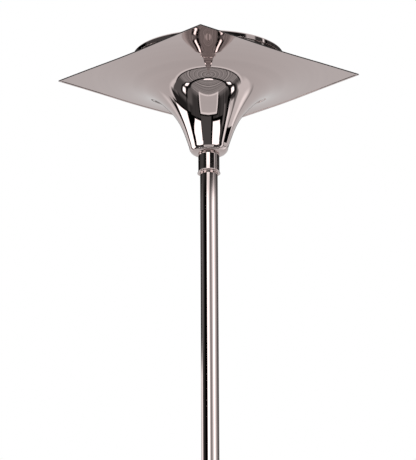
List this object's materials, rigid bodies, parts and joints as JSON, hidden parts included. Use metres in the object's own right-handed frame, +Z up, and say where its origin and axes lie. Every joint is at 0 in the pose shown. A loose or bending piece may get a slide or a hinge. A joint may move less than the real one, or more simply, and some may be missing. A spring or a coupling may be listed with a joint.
{
  "type": "garden torch",
  "caption": "Garden torch: square trumpet-shaped canopy of mirror-polished sheet with a lift-out round oil tank, wick and snuffer, on a round pole that slips over a ground stake.",
  "frame": {"origin": "on the pole's axis at the ground line, in the plane of the underside of the stake's foot plate", "axes": "+Z up along the pole; +X and +Y square to the canopy's sides, +X the side of the thumb screw and the filler cap"},
  "size_m": [0.31, 0.31, 1.9027],
  "materials": {
    "polished_steel": "mirror-polished stainless steel",
    "bright_steel": "satin stainless steel",
    "black_rubber": "moulded rubber",
    "black_nylon": "moulded nylon",
    "glass_fibre": "braided glass fibre"
  },
  "bodies": {
    "stake": {"stake_spike": "bright_steel", "foot_plate": "bright_steel", "stake_spigot": "bright_steel"},
    "pole": {"pole_end_bush": "black_nylon", "pole_lower": "polished_steel", "pole_coupler": "bright_steel", "coupler_screw_lower": "bright_steel", "coupler_screw_upper": "bright_steel", "pole_upper": "polished_steel", "pole_top_plug": "bright_steel", "ferrule": "polished_steel", "ferrule_screw_right": "bright_steel", "ferrule_screw_back": "bright_steel", "head_bolt": "bright_steel", "head_washer": "bright_steel", "canopy": "polished_steel", "seat_ring": "black_rubber", "thumb_boss": "bright_steel"},
    "thumb_pad": {"thumb_pad": "black_nylon"},
    "thumb_screw": {"thumb_screw": "bright_steel", "thumb_knob": "black_nylon"},
    "tank": {"fuel_tank": "polished_steel", "tank_lid": "polished_steel", "wick_holder": "polished_steel", "wick_nut": "bright_steel", "filler_neck": "bright_steel"},
    "wick": {"wick": "glass_fibre"},
    "snuffer": {"snuffer_cap": "polished_steel", "snuffer_knob": "polished_steel"},
    "filler_seal": {"filler_seal": "black_rubber"},
    "filler_cap": {"filler_cap": "black_nylon"}
  },
  "joints": [
    {"name": "pole_lift", "type": "slide", "parent": "stake", "child": "pole", "axis": [0, 0, 1], "range_m": [0, 0.16]},
    {"name": "thumb_pad_slide", "type": "slide", "parent": "pole", "child": "thumb_pad", "axis": [1, 0, 0], "range_m": [0, 0.00161]},
    {"name": "thumb_screw_turn", "type": "hinge", "parent": "thumb_pad", "child": "thumb_screw", "pos_m": [0.015, 0, 0.062], "axis": [1, 0, 0], "range_deg": [0, 720]},
    {"name": "tank_lift", "type": "slide", "parent": "pole", "child": "tank", "axis": [0, 0, 1], "range_m": [0, 0.12]},
    {"name": "wick_feed", "type": "slide", "parent": "tank", "child": "wick", "axis": [0, 0, 1], "range_m": [-0.004, 0.008]},
    {"name": "snuffer_lift", "type": "slide", "parent": "tank", "child": "snuffer", "axis": [0, 0, 1], "range_m": [0, 0.04]},
    {"name": "filler_seal_slide", "type": "slide", "parent": "tank", "child": "filler_seal", "axis": [0, 0, 1], "range_m": [0, 0.00902]},
    {"name": "filler_cap_turn", "type": "hinge", "parent": "filler_seal", "child": "filler_cap", "pos_m": [0.062, 0, 1.62], "axis": [0, 0, 1], "range_deg": [0, 1080]}
  ],
  "couplings": [
    {"joint": "thumb_pad_slide", "follows": "thumb_screw_turn", "m_per_rad": 0.00012732},
    {"joint": "filler_seal_slide", "follows": "filler_cap_turn", "m_per_rad": 0.00047746}
  ]
}
